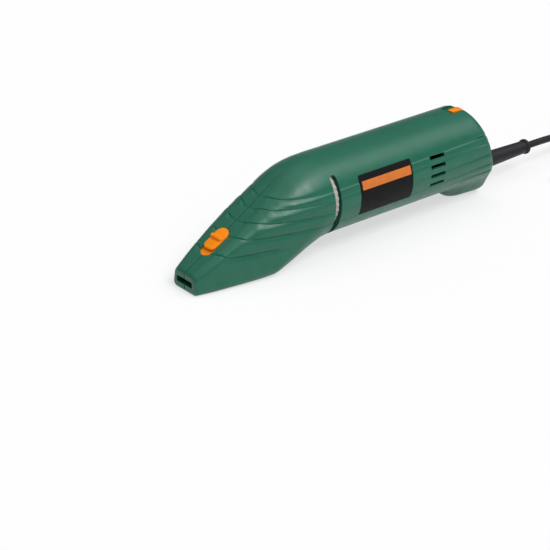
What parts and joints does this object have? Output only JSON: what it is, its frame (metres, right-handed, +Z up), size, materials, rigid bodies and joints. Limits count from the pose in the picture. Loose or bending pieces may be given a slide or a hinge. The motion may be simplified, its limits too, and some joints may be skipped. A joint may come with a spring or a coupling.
{
  "type": "electric hand scraper",
  "caption": "Hand held electric scraper with a wedge nose that takes a blade, a round motor barrel, a speed dial, a sliding switch, a blade lock and a mains lead.",
  "frame": {"origin": "on the floor under the middle of the tool's box, without the lead", "axes": "+X from the blade tip to the lead, +Z up, left side of the tool at -Y"},
  "size_m": [0.5086, 0.0952, 0.073],
  "materials": {
    "housing": "satin moulded green plastic",
    "control": "satin orange plastic",
    "dial": "light grey plastic, ribbed",
    "plate": "dark printed film",
    "dark_plastic": "black plastic",
    "lead": "dark flexible sheath",
    "steel": "bright steel",
    "lamination": "stacked steel sheet",
    "copper": "enamelled copper wire",
    "bronze": "sintered bronze",
    "alloy": "die-cast alloy",
    "carbon": "pressed carbon",
    "board": "lacquered circuit board",
    "nylon": "natural nylon"
  },
  "bodies": {
    "tool": {"housing_left": "housing", "housing_right": "housing", "name_plate": "plate", "switch_body": "dark_plastic", "brush_holders": "dark_plastic", "noise_capacitor": "dark_plastic", "cord_clamp": "dark_plastic", "plug_body": "dark_plastic", "strain_relief": "lead", "cord_tail": "lead", "power_cord": "lead", "cord_coil": "lead", "cord_end": "lead", "cord_tie": "lead", "housing_screws": "steel", "gear_plate_screws": "steel", "cord_clamp_screws": "steel", "front_bearing": "steel", "rear_bearing": "steel", "ram_spring": "steel", "brush_springs": "steel", "plug_pins": "steel", "stator_core": "lamination", "field_coils": "copper", "chokes": "copper", "front_bush": "bronze", "rear_bush": "bronze", "motor_bracket": "alloy", "gear_plate": "alloy", "speed_regulator": "alloy", "carbon_brushes": "carbon", "control_board": "board", "dial_track": "board", "ram_guide": "nylon", "blade_guide": "nylon"},
    "rotor": {"armature_shaft": "steel", "armature_core": "lamination", "armature_windings": "copper", "commutator": "copper", "cooling_fan": "dark_plastic", "motor_pinion": "steel"},
    "cam_drive": {"cam_shaft": "steel", "cam_gear": "steel", "strike_cam": "steel"},
    "striker": {"ram": "steel"},
    "dial": {"speed_dial": "dial"},
    "switch": {"switch_slider": "control"},
    "blade_lock": {"release_slider": "control"},
    "locking_pin": {"lock_pin": "steel"}
  },
  "joints": [
    {"name": "power_switch_slide", "type": "slide", "parent": "tool", "child": "switch", "axis": [-1, 0, 0], "range_m": [0, 0.004]},
    {"name": "speed_dial_turn", "type": "hinge", "parent": "tool", "child": "dial", "pos_m": [-0.02485, -0.00518, 0.0431], "axis": [1, 0, 0], "range_deg": [0, 280]},
    {"name": "blade_lock_slide", "type": "slide", "parent": "tool", "child": "blade_lock", "axis": [-0.863, 0, -0.5053], "range_m": [0, 0.0055]},
    {"name": "lock_pin_slide", "type": "slide", "parent": "tool", "child": "locking_pin", "axis": [0, 0, -1], "range_m": [0, 0.0028]},
    {"name": "rotor_spin", "type": "hinge", "parent": "tool", "child": "rotor", "pos_m": [0, 0, 0.042], "axis": [1, 0, 0], "continuous": true},
    {"name": "cam_shaft_spin", "type": "hinge", "parent": "tool", "child": "cam_drive", "pos_m": [0, 0, 0.0267], "axis": [1, 0, 0], "continuous": true},
    {"name": "ram_slide", "type": "slide", "parent": "tool", "child": "striker", "axis": [1, 0, 0], "range_m": [0, 0.0022], "stiffness_N_per_m": 400, "springref_m": -0.004, "deforming": ["ram_spring"]}
  ],
  "couplings": [
    {"joint": "lock_pin_slide", "follows": "blade_lock_slide", "ratio": 0.50528},
    {"joint": "cam_shaft_spin", "follows": "rotor_spin", "ratio": -0.41667}
  ]
}
